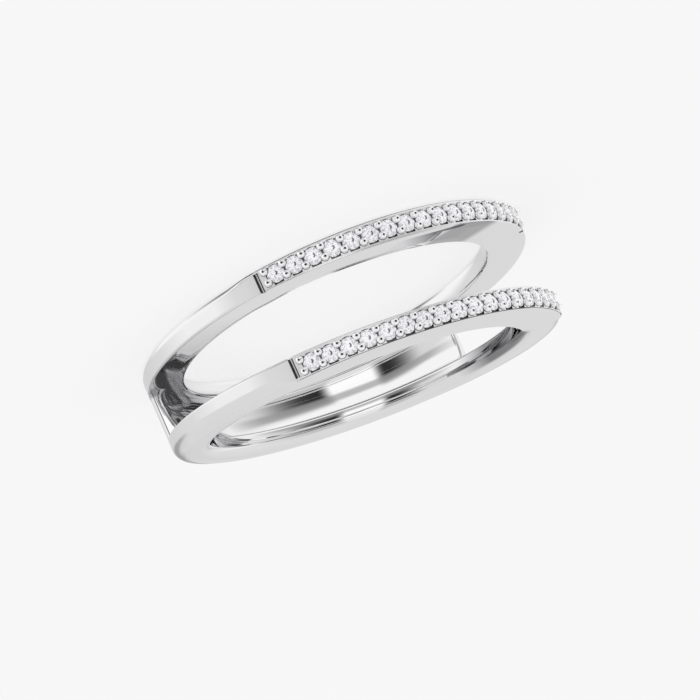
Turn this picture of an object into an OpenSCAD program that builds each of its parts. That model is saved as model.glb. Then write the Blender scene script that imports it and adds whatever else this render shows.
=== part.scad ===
// Ring guard enhancer: two thin bands that lean apart, joined by a
// curved bridge at the back, each with a row of small round stones.
// It lies on the outer side of its rear band; the finger axis is Z.
// 12 o'clock, the middle of the stone rows, is toward -Y.
// Millimetres.

/* [Size] */
// inner radius where the finger goes
bore_r = 8.65; // [7:0.05:11]
// radius of the outer surface of both bands
outer_r = 10.80; // [9:0.01:14]
// shift of the outer surface toward 12 o'clock, which makes the back thin
outer_shift = 0.19; // [0:0.01:0.8]

/* [Rear band] */
// width of the rear band at 6 o'clock
rear_w_back = 1.10; // [0.6:0.01:2]
// width of the rear band where its stones begin
rear_w_start = 1.21; // [0.6:0.01:2]
// width of the rear band at 12 o'clock
rear_w_top = 1.44; // [0.6:0.01:2.5]

/* [Front band] */
// height of the inner side of the front band at 6 o'clock
gap_z_back = 3.11; // [2:0.01:5]
// height of the inner side where the stones begin
gap_z_start = 4.86; // [3:0.01:7]
// height of the inner side at 12 o'clock
gap_z_top = 5.29; // [3:0.01:8]
// height of the outer side of the front band at 6 o'clock
front_z_back = 4.16; // [3:0.01:6]
// height of the outer side where the stones begin
front_z_start = 6.22; // [4:0.01:9]
// height of the outer side at 12 o'clock
front_z_top = 6.57; // [4:0.01:9]
// distance from the axis to the line where the stones begin
start_y = 6.4; // [4:0.1:9]

/* [Bridge] */
// angle from 6 o'clock to each end of the bridge, in degrees
bridge_half = 65; // [30:0.5:80]
// thickness of the bridge
bridge_t = 0.50; // [0.3:0.01:1.2]
// radius of the hollow corner between the bridge and the rear band
rear_fillet = 0.45; // [0.2:0.05:1]
// radius of the shallow hollow in the bridge beside the front band
front_fillet = 4.0; // [1.5:0.1:8]
// length of that hollow along the finger axis
front_hollow = 1.28; // [0.5:0.02:1.5]
// small step where a hollow corner ends on the bridge
fillet_step = 0.03; // [0:0.01:0.1]

/* [Stones] */
// number of stones in each row
stone_count = 17; // [5:2:19]
// angle from one stone to the next in the rear row, in degrees
rear_step = 5.61; // [4.5:0.01:8]
// angle from one stone to the next in the front row, in degrees
front_step = 5.52; // [4.5:0.01:8]
// turn of the rear row away from 12 o'clock, in degrees
rear_turn = -0.8; // [-3:0.1:3]
// turn of the front row away from 12 o'clock, in degrees
front_turn = 0.8; // [-3:0.1:3]
// diameter of a stone
stone_d = 0.96; // [0.6:0.01:1.4]
// diameter of the flat table on a stone
table_d = 0.54; // [0.3:0.01:0.9]
// height of a stone from its girdle up to the table
crown_h = 0.15; // [0.08:0.01:0.3]
// depth of a stone below its girdle
pavilion_h = 0.40; // [0.2:0.01:0.6]
// how far the girdle lies below the outer surface
girdle_drop = 0.06; // [0:0.01:0.3]
// free space left round a stone in its seat
seat_gap = 0.015; // [0.005:0.005:0.05]

/* [Beads] */
// diameter of a bead
bead_d = 0.42; // [0.2:0.01:0.6]
// distance across the band between the two beads of a pair
bead_pair = 0.63; // [0.4:0.01:1]
// height of the middle of a bead above the outer surface
bead_rise = 0.07; // [0:0.01:0.15]

/* [Cuts] */
// width of the notch beside each stone
notch_w = 0.52; // [0.3:0.01:0.8]
// depth of that notch
notch_h = 0.13; // [0.05:0.01:0.4]
// width of a notch across the band
notch_across = 0.12; // [0.05:0.01:0.3]
// distance from the middle of the band to a notch
notch_at = 0.44; // [0.3:0.01:0.7]
// angle from the last pair of beads to the groove that ends a row
slot_out = 2.5; // [1:0.1:6]
// width of that groove
slot_w = 0.26; // [0.1:0.01:0.5]
// depth of that groove
slot_h = 0.22; // [0.1:0.01:0.6]
// bevel along the outer edge of each band
edge_bevel = 0.25; // [0.05:0.01:0.5]
// bevel along the finger edge of each band
comfort_bevel = 0.20; // [0.05:0.01:0.5]

/* [Hidden] */
$fn = 48;
row_r = outer_r - girdle_drop;
first = -(stone_count - 1) / 2;
bridge_r = outer_r - bridge_t;
gap_lean = atan((gap_z_start - gap_z_back) / 16.8);
rear_lean = atan((rear_w_start - rear_w_back) / 16.8);
front_lean = atan((front_z_start - front_z_back) / 16.8);
front_mid_z = front_z_back + (front_z_start - front_z_back) * 10.4 / 16.8;
row_edge = outer_r * cos(53.5) + outer_shift;
far_y = 14;

function rear_gap(y) = y > start_y
    ? rear_w_start + (rear_w_top - rear_w_start) * (y - start_y) / 4.7
    : rear_w_back + (rear_w_start - rear_w_back) * (y + 10.4) / 16.8;
function front_gap(y) = y > start_y
    ? gap_z_start + (gap_z_top - gap_z_start) * (y - start_y) / 4.7
    : gap_z_back + (gap_z_start - gap_z_back) * (y + 10.4) / 16.8;
function front_face(y) = y > start_y
    ? front_z_start + (front_z_top - front_z_start) * (y - start_y) / 4.7
    : front_z_back + (front_z_start - front_z_back) * (y + 10.4) / 16.8;
function up_y(a, r) = r * cos(a) + outer_shift;
function rear_mid(a, r) = rear_gap(up_y(a, r)) / 2;
function front_mid(a, r) =
    (front_gap(up_y(a, r)) + front_face(up_y(a, r))) / 2;

// turns a side view, drawn as distance toward 12 o'clock and height,
// into a slab across the ring
module side_slab() {
    rotate([90, 0, -90]) translate([0, 0, -15]) linear_extrude(30) children();
}

// solid between the outer surface and the axis, all heights
module outer_column() {
    translate([0, -outer_shift, -1]) cylinder(r = outer_r, h = 9);
}

module rear_side() {
    polygon([[-far_y, 0], [far_y, 0], [far_y, rear_gap(far_y)],
        [start_y, rear_w_start], [-far_y, rear_gap(-far_y)]]);
}

module front_side() {
    polygon([[-far_y, front_gap(-far_y)], [start_y, gap_z_start],
        [far_y, front_gap(far_y)], [far_y, front_face(far_y)],
        [start_y, front_z_start], [-far_y, front_face(-far_y)]]);
}

// goes to the outer surface at one angle from 12 o'clock, with +Z outward
// and Y along the band axis
module at_surface(a, z) {
    translate([0, -outer_shift, z]) rotate([0, 0, a - 90])
        rotate([0, 90, 0]) rotate([0, 0, 90]) children();
}

// goes to stone k of the rear row, counted from 0, or between two stones
module rear_place(k) {
    a = (first + k) * rear_step + rear_turn;
    at_surface(a, rear_mid(a, outer_r)) children();
}

// the same in the front row
module front_place(k) {
    a = (first + k) * front_step + front_turn;
    at_surface(a, front_mid(a, outer_r)) children();
}

// cone that bevels the outer edge of the rear band
module rear_edge() {
    translate([0, -outer_shift, 0])
        cylinder(r1 = outer_r - edge_bevel, r2 = outer_r - edge_bevel + 9, h = 9);
}

// the same for the front band, square to its leaning outer side
module front_edge() {
    translate([0, -outer_shift, front_mid_z])
        rotate([-front_lean, 0, 0]) translate([0, 0, -9])
            cylinder(r1 = outer_r - edge_bevel + 9, r2 = outer_r - edge_bevel, h = 9);
}

// part that holds the stone rows, where the outer edge stays sharp
module row_part() {
    translate([-15, -15, -1]) cube([30, 15 - row_edge, 12]);
}

module bands() {
    intersection() {
        outer_column();
        side_slab() rear_side();
        union() {
            rear_edge();
            row_part();
        }
    }
    intersection() {
        outer_column();
        side_slab() front_side();
        union() {
            front_edge();
            row_part();
        }
    }
}

// cone that bevels the finger edge, full at 6 o'clock and none at 12
module finger_bevel() {
    cylinder(r1 = bore_r + comfort_bevel + 1, r2 = bore_r - 1, h = comfort_bevel + 2);
}

// ring with a hollow round corner, which stands on the side of a band at z = 0
module corner_ring(r, h) {
    mid = bridge_r - fillet_step - r;
    difference() {
        translate([0, 0, -0.3]) cylinder(r = bridge_r + 0.2, h = h + 0.28);
        translate([0, 0, -1]) cylinder(r = mid, h = h + 3);
        translate([0, 0, h - 0.02]) rotate_extrude() translate([mid, 0]) circle(r = r);
    }
}

// curved plate at the back, flush with the outer surface, with hollow corners
module bridge() {
    intersection() {
        union() {
            difference() {
                outer_column();
                translate([0, -outer_shift, -2]) cylinder(r = bridge_r, h = 12);
            }
            translate([0, -outer_shift, rear_gap(outer_shift)])
                rotate([-rear_lean, 0, 0]) corner_ring(rear_fillet, rear_fillet);
            translate([0, -outer_shift, front_gap(outer_shift)])
                rotate([-gap_lean, 0, 0]) mirror([0, 0, 1])
                    corner_ring(front_fillet, front_hollow);
        }
        side_slab() polygon([[-far_y, 0.3], [far_y, 0.3],
            [far_y, front_gap(far_y) + 0.3], [-far_y, front_gap(-far_y) + 0.3]]);
        translate([0, -outer_shift, 0]) linear_extrude(9)
            polygon([[0, 0], [30 * sin(bridge_half), 30 * cos(bridge_half)],
                [30, 30], [-30, 30], [-30 * sin(bridge_half), 30 * cos(bridge_half)]]);
    }
}

module beads() {
    for (k = [0 : stone_count]) {
        for (s = [-1, 1]) {
            rear_place(k - 0.5)
                translate([0, s * bead_pair / 2, outer_r + bead_rise]) sphere(d = bead_d);
            front_place(k - 0.5)
                translate([0, s * bead_pair / 2, outer_r + bead_rise]) sphere(d = bead_d);
        }
    }
}

// room for one stone: cone below, girdle wall, cone above
module seat() {
    r = stone_d / 2 + seat_gap;
    translate([0, 0, row_r - pavilion_h - 0.04])
        cylinder(r1 = 0.03, r2 = r, h = pavilion_h + 0.02);
    translate([0, 0, row_r - 0.021]) cylinder(r = r, h = 0.042);
    translate([0, 0, row_r + 0.02])
        cylinder(r1 = r, r2 = table_d / 2 + seat_gap, h = crown_h);
}

// open pocket in the outer surface, beside one stone
module notch() {
    translate([-notch_w / 2, notch_at, outer_r - notch_h]) cube([notch_w, notch_across, 1]);
}

// groove at the end of a row, round toward the side it does not cut through
module end_slot() {
    translate([0, 0, outer_r - slot_h]) {
        translate([0, 0.42, 0]) cylinder(d = slot_w, h = 1);
        translate([-slot_w / 2, -1.2, 0]) cube([slot_w, 1.62, 1]);
    }
}

module row_cuts() {
    for (k = [0 : stone_count - 1]) {
        rear_place(k) seat();
        front_place(k) seat();
        rear_place(k) notch();
        front_place(k) notch();
    }
    for (s = [-1, 1]) {
        rear_place(-first + s * (stone_count / 2 + slot_out / rear_step)) mirror([0, 1, 0]) end_slot();
        front_place(-first + s * (stone_count / 2 + slot_out / front_step)) end_slot();
    }
}

module shank() {
    color([0.83, 0.83, 0.84]) difference() {
        union() {
            bands();
            bridge();
            beads();
        }
        translate([0, 0, -2]) cylinder(r = bore_r, h = 14);
        translate([0, comfort_bevel, -1]) finger_bevel();
        translate([0, comfort_bevel, front_mid_z]) rotate([-front_lean, 0, 0])
            mirror([0, 0, 1]) translate([0, 0, -1]) finger_bevel();
        row_cuts();
    }
}

// round brilliant: table, eight kites, stars, girdle and pavilion
module gem() {
    r = stone_d / 2;
    rt = table_d / 2;
    rm = r * 0.80;
    g = 0.012;
    rp = r * 0.28;
    table = [for (i = [0 : 7]) [rt * cos(i * 45), rt * sin(i * 45), crown_h]];
    mid = [for (i = [0 : 7]) [rm * cos(i * 45 + 22.5), rm * sin(i * 45 + 22.5), crown_h * 0.56]];
    top = [for (i = [0 : 15]) [r * cos(i * 22.5), r * sin(i * 22.5), g]];
    low = [for (i = [0 : 15]) [r * cos(i * 22.5), r * sin(i * 22.5), -g]];
    deep = [for (i = [0 : 7]) [rp * cos(i * 45 + 22.5), rp * sin(i * 45 + 22.5), -pavilion_h * 0.74]];
    tip = [[0, 0, -pavilion_h]];
    t0 = 0;
    m0 = 8;
    g0 = 16;
    l0 = 32;
    d0 = 48;
    p0 = 56;
    faces = concat(
        [[for (i = [7 : -1 : 0]) t0 + i]],
        [for (i = [0 : 7]) [t0 + i, t0 + (i + 1) % 8, m0 + i]],
        [for (i = [0 : 7]) [t0 + i, m0 + i, g0 + 2 * i]],
        [for (i = [0 : 7]) [t0 + i, g0 + 2 * i, m0 + (i + 7) % 8]],
        [for (i = [0 : 7]) [m0 + i, g0 + 2 * i + 1, g0 + 2 * i]],
        [for (i = [0 : 7]) [m0 + i, g0 + (2 * i + 2) % 16, g0 + 2 * i + 1]],
        [for (i = [0 : 15]) [g0 + i, g0 + (i + 1) % 16, l0 + (i + 1) % 16]],
        [for (i = [0 : 15]) [g0 + i, l0 + (i + 1) % 16, l0 + i]],
        [for (i = [0 : 7]) [l0 + 2 * i, l0 + 2 * i + 1, d0 + i]],
        [for (i = [0 : 7]) [l0 + 2 * i + 1, l0 + (2 * i + 2) % 16, d0 + i]],
        [for (i = [0 : 7]) [l0 + 2 * i, d0 + i, p0]],
        [for (i = [0 : 7]) [l0 + 2 * i, p0, d0 + (i + 7) % 8]]);
    translate([0, 0, row_r]) polyhedron(points = concat(table, mid, top, low, deep, tip),
        faces = faces);
}

module rear_stone(k) {
    color([0.93, 0.95, 0.98]) rear_place(k) gem();
}

module front_stone(k) {
    color([0.93, 0.95, 0.98]) front_place(k) gem();
}

shank();
rear_stone(0);  // rear_stone_01
rear_stone(1);  // rear_stone_02
rear_stone(2);  // rear_stone_03
rear_stone(3);  // rear_stone_04
rear_stone(4);  // rear_stone_05
rear_stone(5);  // rear_stone_06
rear_stone(6);  // rear_stone_07
rear_stone(7);  // rear_stone_08
rear_stone(8);  // rear_stone_09
rear_stone(9);  // rear_stone_10
rear_stone(10);  // rear_stone_11
rear_stone(11);  // rear_stone_12
rear_stone(12);  // rear_stone_13
rear_stone(13);  // rear_stone_14
rear_stone(14);  // rear_stone_15
rear_stone(15);  // rear_stone_16
rear_stone(16);  // rear_stone_17
front_stone(0);  // front_stone_01
front_stone(1);  // front_stone_02
front_stone(2);  // front_stone_03
front_stone(3);  // front_stone_04
front_stone(4);  // front_stone_05
front_stone(5);  // front_stone_06
front_stone(6);  // front_stone_07
front_stone(7);  // front_stone_08
front_stone(8);  // front_stone_09
front_stone(9);  // front_stone_10
front_stone(10);  // front_stone_11
front_stone(11);  // front_stone_12
front_stone(12);  // front_stone_13
front_stone(13);  // front_stone_14
front_stone(14);  // front_stone_15
front_stone(15);  // front_stone_16
front_stone(16);  // front_stone_17
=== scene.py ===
import math

import bmesh
import bpy
from mathutils import Matrix, Vector


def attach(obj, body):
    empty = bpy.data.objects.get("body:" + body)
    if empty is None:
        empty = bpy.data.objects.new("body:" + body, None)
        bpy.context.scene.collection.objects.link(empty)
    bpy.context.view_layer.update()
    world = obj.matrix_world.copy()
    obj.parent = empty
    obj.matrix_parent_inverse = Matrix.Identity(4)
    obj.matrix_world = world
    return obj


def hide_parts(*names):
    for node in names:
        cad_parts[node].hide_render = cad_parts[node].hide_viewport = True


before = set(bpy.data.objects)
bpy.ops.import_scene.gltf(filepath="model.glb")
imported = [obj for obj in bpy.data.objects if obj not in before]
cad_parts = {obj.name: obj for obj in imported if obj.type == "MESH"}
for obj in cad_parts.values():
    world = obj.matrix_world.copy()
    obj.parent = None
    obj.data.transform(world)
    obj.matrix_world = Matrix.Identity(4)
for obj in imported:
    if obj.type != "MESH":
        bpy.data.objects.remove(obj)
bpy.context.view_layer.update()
scene = bpy.context.scene
MM = 0.001


# Section: the two bands.
# Each band is a thin hoop of white gold, cast with the bridge and polished all over. Its outer surface is
# a circle set a little toward 12 o'clock, so the back is thinner. A shallow pocket is cut beside each stone
# and a groove where the row ends. Sizes are in millimetres.
BORE = 8.65
OUTER = 10.80
SHIFT = 0.19
# distances toward 12 o'clock between which the sides of the bands run straight
BACK_Y = -10.4
START_Y = 6.4
TOP_Y = 11.1
# height of each side of the bands at those three distances
REAR_FACE = (0.0, 0.0, 0.0)
REAR_GAP = (1.10, 1.21, 1.44)
FRONT_GAP = (3.11, 4.86, 5.29)
FRONT_FACE = (4.16, 6.22, 6.57)
# angle from stone to stone, and the turn of the whole row
REAR_ROW = (math.radians(5.61), math.radians(-0.8))
FRONT_ROW = (math.radians(5.52), math.radians(0.8))
STONES = 17
# conical seats: radius, depth of their edge, and how much deeper their point is
SEAT_R = 0.50
SEAT_EDGE = 0.09
SEAT_DEEP = 0.46
# pockets: width along the row, depth, and where they start and end across it
POCKET_W = 0.52
POCKET_H = 0.13
POCKET_NEAR = 0.44
POCKET_FAR = 0.56
# end grooves: angle past the row, width, depth, and reach across from the middle
SLOT_OUT = math.radians(2.5)
SLOT_W = 0.26
SLOT_H = 0.22
SLOT_REACH = 0.45
# where the stone-set top changes to the rounded plain part, and over which angle
ROW_END = math.radians(51.5)
ROW_FADE = math.radians(9)
# roundings of the edges beside the stones, and of the plain part
EDGE_AT_ROW = 0.04
COMFORT_R = 0.50
GAP_EDGE_R = 0.20
SHOULDER_AT_ROW = 0.17
FRONT_SHOULDER_R = 0.62
REAR_SHOULDER_R = 0.40
CRISP_AT_ROW = 0.05
CRISP_R = 0.08


class Value:
    """A socket of a material's graph; sums on it add Math nodes."""

    def __init__(self, graph, socket):
        self.graph = graph
        self.socket = socket

    def __add__(self, other):
        return self.graph.maths("ADD", self, other)

    def __radd__(self, other):
        return self.graph.maths("ADD", other, self)

    def __sub__(self, other):
        return self.graph.maths("SUBTRACT", self, other)

    def __rsub__(self, other):
        return self.graph.maths("SUBTRACT", other, self)

    def __mul__(self, other):
        return self.graph.maths("MULTIPLY", self, other)

    def __rmul__(self, other):
        return self.graph.maths("MULTIPLY", other, self)

    def __abs__(self):
        return self.graph.maths("ABSOLUTE", self)


class Graph:
    """The nodes of one material or of the world."""

    def __init__(self, tree):
        self.tree = tree
        tree.nodes.clear()

    def node(self, kind, settings=None, sockets=None, out=0):
        made = self.tree.nodes.new(kind)
        for key, value in (settings or {}).items():
            setattr(made, key, value)
        for key, value in (sockets or {}).items():
            if isinstance(value, Value):
                self.tree.links.new(value.socket, made.inputs[key])
            else:
                made.inputs[key].default_value = value
        return Value(self, made.outputs[out]) if len(made.outputs) else None

    def maths(self, operation, a, b=0.0):
        return self.node("ShaderNodeMath", {"operation": operation}, {0: a, 1: b})


def new_material(name):
    made = bpy.data.materials.new(name)
    made.use_nodes = True
    return made, Graph(made.node_tree)


def fade(value, start, end):
    """0 while the value is at start, and 1 from where it reaches end, either way round."""
    limits = {"Value": value, "From Min": start, "From Max": end}
    return value.graph.node("ShaderNodeMapRange", sockets=limits)


def near(value, middle, outside, inside):
    """1 while the value is less than inside away from the middle, and 0 from outside on."""
    return fade(abs(value - middle), outside, inside)


def blend(share, first, second):
    """Colour that goes from the first to the second with the share."""
    colours = {"Factor": share, 6: first, 7: second}
    return share.graph.node("ShaderNodeMix", {"data_type": "RGBA"}, colours, out=2)


def larger(a, b):
    return a.graph.maths("MAXIMUM", a, b)


def distance(a, b):
    return a.graph.maths("SQRT", a * a + b * b)


def parts(vector):
    """The three numbers of a place or a direction."""
    return [vector.graph.node("ShaderNodeSeparateXYZ", sockets={"Vector": vector}, out=i) for i in range(3)]


def object_place(g):
    """Place on the object, and the same as three values in millimetres."""
    place = g.node("ShaderNodeTexCoord", out=3)
    return place, [part * (1 / MM) for part in parts(place)]


white_gold, g = new_material("polished_white_gold")
place, (x, y, z) = object_place(g)
cloud = g.node("ShaderNodeTexNoise", sockets={"Vector": place, "Scale": 180.0, "Detail": 2.0})
lines = g.node("ShaderNodeTexNoise", sockets={"Vector": place, "Scale": 2600.0, "Detail": 1.0})
grain = g.node("ShaderNodeBump", sockets={"Strength": 0.02, "Distance": 0.00001, "Height": lines})
# each painted shade or reflection below is full where all its fades, with limits in millimetres, are 1
# painted shade and a faint painted glow lie in the channel between the bands at the back, apart from the
# end of the bridge in it
GAP_MIDDLE_Z = 2.15
plate_end = fade(distance(x, y + SHIFT), 10.28, 10.38) * fade(z, 1.30, 1.45)
channel_shade = fade(y, -4.5, 2.0) * fade(x, 3.0, 6.0) * near(z, GAP_MIDDLE_Z, 1.12, 1.00) * (1.0 - plate_end)
# a painted reflection darkens the end of the front band's bore, where it mirrors the metal across it
across_bore = distance(x, y)
ragged = x + cloud * 1.0
bore_end = fade(across_bore, 8.90, 8.78) * fade(ragged, -6.6, -7.4) * fade(y, 3.4, 1.0) * fade(z, 3.4, 4.2)
# a painted reflection darkens a patch on the inner side of the rear band too, slanted and ragged at its
# ends
SIDE_MIDDLE_R = 9.7
SLANT = 0.4
slanted = x + (across_bore - SIDE_MIDDLE_R) * SLANT + cloud * 0.8
patch = fade(z, 1.18, 1.24) * fade(z, 1.75, 1.65) * fade(y, -6.0, -7.5)
patch = patch * fade(slanted, -0.9, -1.4) * fade(slanted, -4.5, -3.9)
BORE_END_STRENGTH = 0.9
PATCH_STRENGTH = 0.75
painted_reflections = larger(bore_end * BORE_END_STRENGTH, patch * PATCH_STRENGTH)
tone = blend(cloud, (0.90, 0.90, 0.91, 1), (0.94, 0.94, 0.945, 1))
# the painted shade in the channel
tone = blend(channel_shade, tone, (0.44, 0.44, 0.45, 1))
# the painted reflections, darker still
tone = blend(painted_reflections, tone, (0.20, 0.20, 0.21, 1))
# the faint painted glow in the channel
glow = blend(channel_shade, (0.0, 0.0, 0.0, 1), (0.030, 0.030, 0.031, 1))
shine = g.node("ShaderNodeBsdfPrincipled", sockets={
    "Base Color": tone, "Metallic": 1.0, "Roughness": 0.012 + cloud * 0.015 + channel_shade * 0.05,
    "Normal": grain, "Emission Color": glow, "Emission Strength": 1.0})
g.node("ShaderNodeOutputMaterial", sockets={"Surface": shine})


def height_between(back, start, top):
    """Height of a side of a band against the distance y toward 12 o'clock."""
    def height(y):
        if y > START_Y:
            return start + (top - start) * (y - START_Y) / (TOP_Y - START_Y)
        return back + (start - back) * (y - BACK_Y) / (START_Y - BACK_Y)

    return height


rear_face = height_between(*REAR_FACE)
rear_gap = height_between(*REAR_GAP)
front_gap = height_between(*FRONT_GAP)
front_face = height_between(*FRONT_FACE)


def toward_12(r, angle):
    """Distance from the bore's axis toward 12 o'clock, of a radius from the outer circle's centre."""
    return r * math.cos(angle) + SHIFT


def column_angles(row):
    """Angles of the cross-sections round the ring, close together at each pocket and groove."""
    step, turn = row
    wall = 0.006
    half = POCKET_W / 2
    beside = [0.09, 0.18, half - wall, half + wall, 0.34, 0.42]
    across_slot = (-1.03, -0.97, -0.5, 0, 0.5, 0.97, 1.03)
    along = [STONES / 2 * step * OUTER]
    for k in range(STONES):
        mid = (k - (STONES - 1) / 2) * step * OUTER
        along += [mid - a for a in beside] + [mid] + [mid + a for a in beside]
        along.append(mid - step * OUTER / 2)
    for side in (-1, 1):
        slot = side * (STONES / 2 * step + SLOT_OUT) * OUTER
        along += [slot + d * SLOT_W / 2 for d in across_slot]
    angles = [turn + a / OUTER for a in along]
    plain_columns = 168
    start = ROW_END + 0.02
    angles += [start + (2 * math.pi - 2 * start) * i / plain_columns for i in range(plain_columns + 1)]
    wrapped = sorted(a % (2 * math.pi) for a in angles)
    smallest = 0.0002
    kept = [wrapped[0]]
    for a in wrapped[1:]:
        if a - kept[-1] > smallest:
            kept.append(a)
    return kept


def arc(centre, radius, start, end, count):
    """Points of a rounding in a cross-section, angles in degrees."""
    turn = [math.radians(start + (end - start) * i / (count - 1)) for i in range(count)]
    return [(centre[0] + radius * math.cos(t), centre[1] + radius * math.sin(t)) for t in turn]


def smooth(share):
    """0 to 1 with an even start and end."""
    share = min(max(share, 0.0), 1.0)
    return share * share * (3 - 2 * share)


def surface_drop(turn, row, v):
    """How far seats and pockets cut the outer surface down, v across from the row's middle.

    The second value says whether the angle lies in an end groove.
    """
    step, offset = row
    count = round((turn - offset) / step)
    u = (turn - offset - count * step) * OUTER
    drop = 0.0
    if abs(count) <= (STONES - 1) / 2:
        if abs(u) < POCKET_W / 2 and POCKET_NEAR < v < POCKET_FAR:
            drop = POCKET_H
        from_point = math.hypot(u, v)
        if from_point < SEAT_R:
            drop = max(drop, SEAT_EDGE + SEAT_DEEP * (1 - from_point / SEAT_R))
    from_slot = abs(abs(turn - offset) - STONES / 2 * step - SLOT_OUT) * OUTER
    return drop, from_slot < SLOT_W / 2


def grown(at_row, at_plain, plain):
    """A rounding between its radius beside the stones and its radius on the plain part."""
    return at_row + (at_plain - at_row) * plain


def worn_away(radius, along):
    """How far a rounded edge lies below its surface, at a distance along from the corner."""
    if along >= radius:
        return 0.0
    return radius - math.sqrt(max(0.0, radius ** 2 - (radius - along) ** 2))


def section(angle, gap, face, row):
    """Points of one cross-section of a band: radius from the outer circle's centre, and height."""
    turn = angle if angle < math.pi else angle - 2 * math.pi
    inner = -SHIFT * math.cos(angle) + math.sqrt(BORE ** 2 - (SHIFT * math.sin(angle)) ** 2)
    up = 1 if face(OUTER) > gap(OUTER) else -1
    plain = smooth((abs(turn) - ROW_END) / ROW_FADE)
    comfort = grown(EDGE_AT_ROW, COMFORT_R, plain)
    gap_edge = grown(EDGE_AT_ROW, GAP_EDGE_R, plain)
    shoulder = grown(SHOULDER_AT_ROW, FRONT_SHOULDER_R if up > 0 else REAR_SHOULDER_R, plain)
    crisp = grown(CRISP_AT_ROW, CRISP_R, plain)
    points = []
    # the outward face, from the bore to the shoulder
    for r, d in arc((inner + comfort, comfort), comfort, 180, 270, 7):
        points.append((r, face(toward_12(r, angle)) - up * d))
    for i in range(1, 4):
        r = inner + comfort + (OUTER - shoulder - inner - comfort) * i / 4
        points.append((r, face(toward_12(r, angle))))
    # the outer surface: its shoulder, the row with its pockets and seats, and its crisp edge
    y = toward_12(OUTER, angle)
    half = abs(face(y) - gap(y)) / 2
    wall = 0.005
    beside_seat = (0.525, 0.505, 0.485, 0.44)
    over_width = (-0.55, -0.35, -0.15, 0, 0.15, 0.35, 0.55)
    across = [d for r, d in arc((0, shoulder), shoulder, 270, 360, 8)]
    for v in (POCKET_NEAR, POCKET_FAR):
        across += [half - up * (v - wall), half - up * (v + wall)]
    across += [half + up * v for v in beside_seat]
    across += [half + half * share for share in over_width]
    across += [2 * half - crisp + d for r, d in arc((0, 0), crisp, 0, 90, 5)]
    for d in sorted(across):
        cut, slot = surface_drop(turn, row, up * (half - d))
        if slot and d > half - SLOT_REACH:
            cut = max(cut, SLOT_H)
        far = 2 * half - d
        edge = worn_away(crisp, far) if far < crisp else worn_away(shoulder, d)
        r = OUTER - max(cut, edge)
        y = toward_12(r, angle)
        points.append((r, face(y) - up * d if d < half else gap(y) + up * far))
    # the side toward the gap, back to the bore
    for i in range(1, 4):
        r = OUTER - crisp + (inner + gap_edge - OUTER + crisp) * i / 4
        points.append((r, gap(toward_12(r, angle))))
    for r, d in arc((inner + gap_edge, gap_edge), gap_edge, 270, 180, 5):
        points.append((r, gap(toward_12(r, angle)) + up * d))
    return points


def make_hoop(angles, sections, closed):
    """Spin one cross-section, then move every column to its own angle and shape.

    An open piece is first spun less than half round, so that each column is found by its angle.
    """
    count = len(sections[0])
    columns = len(angles)
    whole = 2 * math.pi if closed else 3.0
    steps = columns if closed else columns - 1
    turn = whole / steps
    first_r = 10.0
    bm = bmesh.new()
    verts = [bm.verts.new((first_r, 0.0, float(i))) for i in range(count)]
    edges = [bm.edges.new((verts[i], verts[(i + 1) % count])) for i in range(count)]
    bmesh.ops.spin(bm, geom=verts + edges, cent=(0, 0, 0), axis=(0, 0, 1), dvec=(0, 0, 0), angle=whole,
                   steps=steps, use_merge=closed, use_duplicate=False)
    if not closed:
        bmesh.ops.holes_fill(bm, edges=[e for e in bm.edges if e.is_boundary], sides=0)
    for v in bm.verts:
        column = round(math.atan2(v.co.y, v.co.x) / turn) % columns
        r, z = sections[column][round(v.co.z)]
        a = angles[column]
        v.co = Vector((r * math.sin(a), -r * math.cos(a) - SHIFT, z)) * MM
    bmesh.ops.recalc_face_normals(bm, faces=bm.faces[:])
    if bm.calc_volume(signed=True) < 0:
        bmesh.ops.reverse_faces(bm, faces=bm.faces[:])
    return bm


def make_band(gap, face, row):
    angles = column_angles(row)
    return make_hoop(angles, [section(a, gap, face, row) for a in angles], True)


def finish_piece(name, bm, material, sharp):
    """Piece that rides on the ring, smooth apart from edges over the sharp angle in degrees."""
    mesh = bpy.data.meshes.new(name)
    bm.to_mesh(mesh)
    bm.free()
    piece = bpy.data.objects.new(name, mesh)
    scene.collection.objects.link(piece)
    mesh.materials.append(material)
    for p in mesh.polygons:
        p.use_smooth = True
    mesh.set_sharp_from_angle(angle=math.radians(sharp))
    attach(piece, "root")
    return piece


def rough_metal(name, scale, dark, light, roughness, glow):
    """White gold that isn't polished, mottled between two colours, with a painted glow of the given
    strength.
    """
    made, g = new_material(name)
    place = g.node("ShaderNodeTexCoord", out=3)
    scrape = g.node("ShaderNodeTexNoise", sockets={"Vector": place, "Scale": scale, "Detail": 2.0})
    least, more = roughness
    metal = g.node("ShaderNodeBsdfPrincipled", sockets={
        "Base Color": blend(scrape, dark, light), "Metallic": 1.0, "Roughness": least + scrape * more,
        "Emission Color": (1, 1, 1, 1), "Emission Strength": glow})
    g.node("ShaderNodeOutputMaterial", sockets={"Surface": metal})
    return made


# cut metal, rough and painted near black as shade in seats, pockets, end grooves and the rings round the
# beads
shaded_cut_metal = rough_metal("cut_white_gold_painted_shade", 6000.0, (0.05, 0.05, 0.052, 1), (0.26, 0.26, 0.265, 1),
                        (0.25, 0.15), 0.0)
# satin white gold with a painted glow that keeps it pale
satin = rough_metal("satin_white_gold_painted_glow", 9000.0, (0.80, 0.80, 0.81, 1), (0.97, 0.97, 0.975, 1),
                    (0.35, 0.2), 0.14)
SHADED_CUT = 1
SATIN = 2


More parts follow.
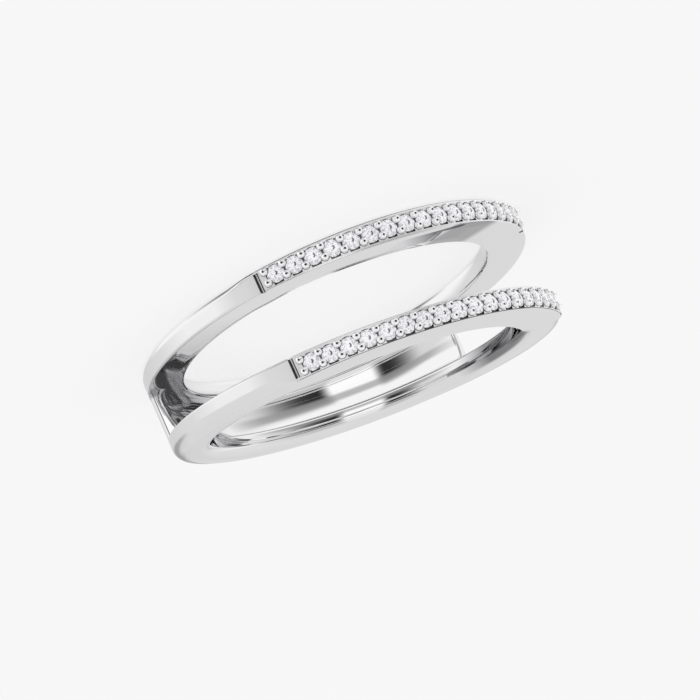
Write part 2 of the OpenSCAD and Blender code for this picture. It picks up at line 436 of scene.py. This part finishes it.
def mark_shaded_cuts(piece, gap, face, row):
    """Dull metal painted dark as shade in seats, pockets and end grooves, bar a strip in each groove; satin
    with a painted glow on that strip and on the plate between the stones.
    """
    piece.data.materials.append(shaded_cut_metal)
    piece.data.materials.append(satin)
    rim = 0.05
    shallowest = 0.03
    deepest = 0.8
    # angles from the middle of the end groove: where the last seat ends, and the strip left pale as a
    # painted highlight
    last_seat = -0.02
    strip = 0.003
    for p in piece.data.polygons:
        x, y, z = (c / MM for c in p.center)
        turn = math.atan2(x, -y - SHIFT)
        deep = OUTER - math.hypot(x, y + SHIFT)
        inside = abs(z - (gap(-y) + face(-y)) / 2) < abs(gap(-y) - face(-y)) / 2 - rim
        past_slot = abs(turn - row[1]) - STONES / 2 * row[0] - SLOT_OUT
        if abs(turn) > ROW_END or not inside or deep > deepest:
            continue
        if deep > shallowest and (past_slot < last_seat or abs(past_slot - strip) > strip):
            p.material_index = SHADED_CUT
        elif past_slot < 2 * strip:
            p.material_index = SATIN


BODY_SHARP = 32
rear_band = finish_piece("rear_band", make_band(rear_gap, rear_face, REAR_ROW), white_gold, BODY_SHARP)
front_band = finish_piece("front_band", make_band(front_gap, front_face, FRONT_ROW), white_gold, BODY_SHARP)
mark_shaded_cuts(rear_band, rear_gap, rear_face, REAR_ROW)
mark_shaded_cuts(front_band, front_gap, front_face, FRONT_ROW)
for piece in (rear_band, front_band):
    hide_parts("shank")


# Section: the bridge.
# A curved plate of the same white gold, cast with the bands and flush with them outside. Inside it has a
# small hollow corner to the rear band, a narrow flat strip between two fine steps, and a long shallow
# hollow to the front band. Its two ends are rounded by polishing.
BRIDGE_T = 0.50
BRIDGE_HALF = math.radians(65)
BRIDGE_ROUND = 0.20
REAR_HOLLOW_R = 0.45
FRONT_HOLLOW_R = 4.0
# height of the front hollow at 6 o'clock, how much it gains toward the ends, and over which angle
FRONT_HOLLOW = 1.28
HOLLOW_GAIN = 0.38
GAIN_START = 0.60
GAIN_ANGLE = 0.53
STEP_IN = 0.03
STEP_SLOPE = 0.012
# the seam: how far the outside lies below the bands', and how far the plate is sunk into them
SEAM = 0.02
SUNK = 0.35
SUNK_OUTSIDE = 0.36
SUNK_AT_BORE = 0.1


def bridge_section(a, worn):
    """Cross-section of the bridge, made thinner by the polishing near its ends."""
    def rear(r):
        return rear_gap(toward_12(r, a))

    def front(r):
        return front_gap(toward_12(r, a))

    inside = OUTER - BRIDGE_T
    tall = FRONT_HOLLOW + HOLLOW_GAIN * smooth((abs(a - math.pi) - GAIN_START) / GAIN_ANGLE)
    corner_r = inside - STEP_IN - REAR_HOLLOW_R
    points = [(corner_r - SUNK_AT_BORE, rear(corner_r) - SUNK)]
    for r, d in arc((corner_r, REAR_HOLLOW_R), REAR_HOLLOW_R + worn, 270, 360, 11):
        points.append((r, rear(r) + d))
    points.append((inside + worn, rear(inside) + REAR_HOLLOW_R + STEP_SLOPE))
    points.append((inside + worn, front(inside) - tall - STEP_SLOPE))
    hollow_r = inside - STEP_IN - FRONT_HOLLOW_R
    steepest = math.degrees(math.asin(tall / FRONT_HOLLOW_R))
    for r, d in arc((hollow_r, -tall), FRONT_HOLLOW_R + worn, 0, steepest, 21):
        points.append((r, front(r) + d))
    points.append((points[-1][0], points[-1][1] + SUNK))
    points.append((OUTER - SEAM - worn, front(OUTER) + SUNK_OUTSIDE))
    points.append((OUTER - SEAM - worn, rear(OUTER) - SUNK_OUTSIDE))
    return points


# cross-sections all along the bridge, and close together on its two rounded ends
bridge_columns = 110
turns = [-BRIDGE_HALF + 2 * BRIDGE_HALF * i / bridge_columns for i in range(1, bridge_columns)]
for share in (0.0, 0.01, 0.04, 0.1, 0.18, 0.3, 0.45, 0.6, 0.8, 1.0):
    from_end = share * BRIDGE_ROUND / OUTER
    turns += [BRIDGE_HALF - from_end, -BRIDGE_HALF + from_end]
turns.sort()
shapes = []
for t in turns:
    worn = worn_away(BRIDGE_ROUND, (BRIDGE_HALF - abs(t)) * OUTER)
    shapes.append(bridge_section(math.pi + t, worn))
plate = make_hoop([math.pi + t for t in turns], shapes, False)
bridge = finish_piece("bridge", plate, white_gold, BODY_SHARP)
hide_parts("shank")


# Section: the beads.
# Small round grains of metal raised from the band, a pair between each stone and the next, pushed over the
# stones' edges to hold them. A dull ring is left where the tool has cut round each grain, painted dark as
# shade.
BEAD_R = 0.21
BEAD_PAIR = 0.63
BEAD_RISE = 0.07
SHADE_RING_R = 0.228
SHADE_RING_DEEP = 0.045
SHADE_RING_T = 0.11
SHADE_RING_SIDES = 28
BEAD_SHARP = 60
# the painted dark reflection on each bead: its place from the bead's middle, and its radius with its soft
# edge
DOT_ALONG = -0.020
DOT_ASIDE = 0.016
DOT_OUTSIDE = 0.085
DOT_INSIDE = 0.040
# the painted grey shade at the edge of each bead: radius where it starts and where it is full, and its
# strength
EDGE_START = 0.135
EDGE_FULL = 0.200
EDGE_SHADE = 0.22
# painted glow of the beads
BEAD_GLOW = 0.32


def middle_line(gap, face):
    """Height of the middle of a row where the bands spread, and at 12 o'clock."""
    return [(gap(y) + face(y)) / 2 for y in (START_Y, TOP_Y)]


def row_place(place, row, middle, start):
    """Distances along and across a row, from the nearest stone at start 0 or the nearest beads at 0.5."""
    x, y, z = place
    step, turn = row
    low, high = middle
    to_12 = y * -1.0
    count = (x.graph.maths("ARCTAN2", x, to_12 - SHIFT) - turn) * (1 / step) + start
    along = (count - x.graph.maths("ROUND", count)) * (step * OUTER)
    across = z - (low + (high - low) / (TOP_Y - START_Y) * (to_12 - START_Y))
    return along, across


def painted_bead_metal(row_name, row, middle):
    """Polished grains with a painted glow: a small painted dark reflection in the middle of a light one,
    painted grey shade at the edge.
    """
    made, g = new_material(row_name + "_bead_white_gold_painted_reflection")
    place, in_mm = object_place(g)
    along, across = row_place(in_mm, row, middle, 0.5)
    aside = abs(across) - BEAD_PAIR / 2
    side = g.maths("SIGN", across) * aside
    painted_dot = fade(distance(along - DOT_ALONG, side - DOT_ASIDE), DOT_OUTSIDE, DOT_INSIDE)
    edge = fade(distance(along, aside), EDGE_START, EDGE_FULL)
    shade = blend(larger(painted_dot, edge * EDGE_SHADE), (0.86, 0.86, 0.87, 1), (0.02, 0.02, 0.022, 1))
    grain = g.node("ShaderNodeBsdfPrincipled", sockets={
        "Base Color": shade, "Metallic": 1.0, "Roughness": 0.30,
        "Emission Color": shade, "Emission Strength": BEAD_GLOW})
    g.node("ShaderNodeOutputMaterial", sockets={"Surface": grain})
    return made


def bead_rows(name, gap, face, row, metal):
    """Every bead of a row in one piece, each with its cut ring painted dark as shade, a short drum round
    its foot.
    """
    step, turn = row
    bm = bmesh.new()
    for k in range(STONES + 1):
        a = (k - STONES / 2) * step + turn
        y = toward_12(OUTER, a)
        mid = (gap(y) + face(y)) / 2
        r = OUTER + BEAD_RISE
        out = Vector((math.sin(a), -math.cos(a), 0))
        upright = out.to_track_quat("Z", "Y").to_matrix().to_4x4()
        for side in (-1, 1):
            centre = Vector((r * math.sin(a), -r * math.cos(a) - SHIFT, mid + side * BEAD_PAIR / 2))
            foot = centre - out * (BEAD_RISE + SHADE_RING_DEEP)
            bmesh.ops.create_icosphere(bm, subdivisions=3, radius=BEAD_R * MM,
                                       matrix=Matrix.Translation(centre * MM))
            # the drum of painted shade round the grain's foot
            bmesh.ops.create_cone(bm, cap_ends=True, segments=SHADE_RING_SIDES, radius1=SHADE_RING_R * MM,
                                  radius2=SHADE_RING_R * MM, depth=SHADE_RING_T * MM,
                                  matrix=Matrix.Translation(foot * MM) @ upright)
    # the grains are all triangles, and the rings are not
    for f in bm.faces:
        f.material_index = SHADED_CUT if len(f.verts) > 3 else 0
    piece = finish_piece(name, bm, metal, BEAD_SHARP)
    piece.data.materials.append(shaded_cut_metal)
    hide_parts("shank")


rear_middle = middle_line(rear_gap, rear_face)
front_middle = middle_line(front_gap, front_face)
bead_rows("rear_beads", rear_gap, rear_face, REAR_ROW, painted_bead_metal("rear", REAR_ROW, rear_middle))
bead_rows("front_beads", front_gap, front_face, FRONT_ROW, painted_bead_metal("front", FRONT_ROW, front_middle))


# Section: the stones.
# Round brilliants of clear diamond, a little under a millimetre across, cut with a table and flat facets,
# each dropped into its seat and held by four beads.
# painted glow of the stones
STONE_GLOW = 0.32
# painted reflections: facets in wandering spokes, specks, and a dark ring on one side of the culet; and how
# strong each is
SPOKES = 8.0
WANDER = 9.0
CULET_RING_R = 0.09
DARK_SIDE = 2.9
FACET_MARK = 0.50
SPECK_MARK = 0.55
CULET_MARK = 0.93


def brilliant(row_name, row, middle):
    """Clear stone for one row: pale with a painted glow, with fine grey facet marks and a dark culet
    painted as reflections.
    """
    made, g = new_material(row_name + "_clear_diamond")
    place, in_mm = object_place(g)
    along, across = row_place(in_mm, row, middle, 0.0)
    far = distance(along, across)
    turn = g.maths("ARCTAN2", across, along)
    fleck = g.node("ShaderNodeTexNoise", sockets={"Vector": place, "Scale": 15000.0, "Detail": 1.0})
    spokes = g.maths("COSINE", turn * SPOKES + fleck * WANDER) * fade(far, 0.14, 0.36)
    painted_facets = fade(spokes, 0.40, 0.80)
    painted_specks = fade(fleck, 0.45, 0.37)
    dark_side = fade(g.maths("COSINE", turn - DARK_SIDE), 0.0, 0.35)
    culet = near(far, CULET_RING_R, 0.060, 0.030) * dark_side
    grey = larger(painted_facets * FACET_MARK, larger(painted_specks * SPECK_MARK, culet * CULET_MARK))
    painted_sparkle = blend(grey, (0.86, 0.86, 0.88, 1), (0.05, 0.05, 0.08, 1))
    gem = g.node("ShaderNodeBsdfPrincipled", sockets={
        "Base Color": painted_sparkle, "Roughness": 0.02, "IOR": 1.8, "Transmission Weight": 0.10,
        "Emission Color": painted_sparkle, "Emission Strength": STONE_GLOW})
    g.node("ShaderNodeOutputMaterial", sockets={"Surface": gem})
    for k in range(STONES):
        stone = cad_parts[f"{row_name}_stone_{k + 1:02d}"]
        stone.data.materials.clear()
        stone.data.materials.append(made)


brilliant("rear", REAR_ROW, rear_middle)
brilliant("front", FRONT_ROW, front_middle)


# Section: floor, light and camera.
# A plain pale table that the ring lies on, soft light from all round, and a camera a little above the
# table, turned as the photograph is.
FLOOR_R = 3.0
FLOOR_BELOW = 0.00003
FLOOR_GLOW = 0.715
floor_bm = bmesh.new()
bmesh.ops.create_circle(floor_bm, cap_ends=True, segments=64, radius=FLOOR_R,
                        matrix=Matrix.Translation((0, 0, -FLOOR_BELOW)))
floor_mesh = bpy.data.meshes.new("floor")
floor_bm.to_mesh(floor_mesh)
floor_bm.free()
floor = bpy.data.objects.new("floor", floor_mesh)
scene.collection.objects.link(floor)
pale, g = new_material("pale_floor")
paint = g.node("ShaderNodeBsdfPrincipled", sockets={
    "Base Color": (0.30, 0.30, 0.30, 1), "Roughness": 0.9, "Specular IOR Level": 0.0,
    "Emission Color": (1, 1, 1, 1), "Emission Strength": FLOOR_GLOW})
g.node("ShaderNodeOutputMaterial", sockets={"Surface": paint})
floor_mesh.materials.append(pale)
floor.visible_glossy = False
floor.visible_transmission = False

# the studio round the ring has light walls, two paler stretches of wall, and a bright window between wide
# dark edges; each is a grey tone of 0 to 255, or how much paler it is, and the compass angles in degrees
# from 12 o'clock where it starts, is full, fades and ends; the edges differ high up and at table height
WALL_TONE = 205
PALEST_WALL = (28, -175, -83, -75, -37)
PALER_WALL = (9, 60, 85, 150, 185)
HIGH_EDGES = (27, -48, -3, 54, 78)
LOW_EDGES = (50, -45, 2, 48, 73)
WINDOW = (251, 3, 13, 38, 47)
GAMMA = 2.2
METAL_TONE = 0.91


def soft_fade(value, start, end):
    """Like fade, with an even start and end."""
    limits = {"Value": value, "From Min": start, "From Max": end}
    return value.graph.node("ShaderNodeMapRange", {"interpolation_type": "SMOOTHSTEP"}, limits)


def stretch(angle, start, full, fading, end):
    """1 between the angles full and fading, and 0 outside start and end."""
    return soft_fade(angle, start, full) * soft_fade(angle, end, fading)


def paler(wall, angle, more, *place):
    """Wall tone made paler in one stretch."""
    return wall + stretch(angle, *place) * more


def covered(wall, angle, tone, *place):
    """Wall tone covered by another tone in one stretch."""
    return wall + (tone - wall) * stretch(angle, *place)


def wall_light(angle, edges):
    """Light that makes polished metal show the studio's walls in their tones."""
    wall = paler(WALL_TONE, angle, *PALEST_WALL)
    wall = paler(wall, angle, *PALER_WALL)
    wall = covered(wall, angle, *edges)
    wall = covered(wall, angle, *WINDOW)
    return angle.graph.maths("POWER", wall * (1 / 255), GAMMA) * (1 / METAL_TONE)


def plain_grey(tone):
    return (tone, tone, tone, 1)


world = bpy.data.worlds.new("studio")
scene.world = world
world.use_nodes = True
g = Graph(world.node_tree)
# east, north and height are parts of a direction, so height goes from -1 straight down to 1 straight up
east, north, height = parts(g.node("ShaderNodeTexCoord", out=0))
angle = g.maths("ARCTAN2", east, north * -1.0) * math.degrees(1.0)
studio = blend(fade(height, 0.02, 0.16), wall_light(angle, LOW_EDGES), wall_light(angle, HIGH_EDGES))
# higher up, the walls fade to an even grey
studio = blend(fade(height, 0.19, 0.27) * 0.75, studio, plain_grey(0.74))
# two faint dark strips low down behind the ring, one to the side and one round 6 o'clock
behind = near(angle, -115, 76, 47)
studio = blend(near(height, -0.10, 0.15, 0.04) * behind * 0.28, studio, plain_grey(0.16))
round_6 = larger(fade(angle, -148, -156), fade(angle, 158, 173))
studio = blend(near(height, -0.05, 0.17, 0.06) * round_6 * 0.50, studio, plain_grey(0.16))
# light that comes up from the table, from higher at one side, and the dark straight under the ring
raised = fade(angle, 68, 97) * 0.28 * fade(angle, 180, 122)
from_below = fade(height - raised, -0.42, -0.60) * (1.0 - behind * 0.45)
studio = blend(from_below, studio, plain_grey(0.98))
studio = blend(fade(height, -0.74, -0.90), studio, plain_grey(0.13))
# the ceiling, and a grey patch of table in front
studio = blend(fade(height, 0.68, 0.88), studio, plain_grey(0.75))
in_front = near(height, -0.43, 0.12, 0.05) * near(angle, 18, 86, 58)
studio = blend(in_front * 0.75, studio, plain_grey(0.34))
light = g.node("ShaderNodeBackground", sockets={"Color": studio, "Strength": 1.0})
g.node("ShaderNodeOutputWorld", sockets={"Surface": light})

CAMERA_AT = (0.145416, -0.218655, 0.076080)
CAMERA_TURN = (-73.00746, -23.36362, -153.28580)
camera_data = bpy.data.cameras.new("camera")
camera = bpy.data.objects.new("camera", camera_data)
scene.collection.objects.link(camera)
scene.camera = camera
camera_data.lens = 266.141
camera_data.sensor_width = 36.0
camera_data.clip_start = 0.01
camera_data.clip_end = 20.0
camera.location = CAMERA_AT
camera.rotation_euler = [math.radians(a) for a in CAMERA_TURN]

scene.view_settings.view_transform = "Standard"
scene.view_settings.look = "None"
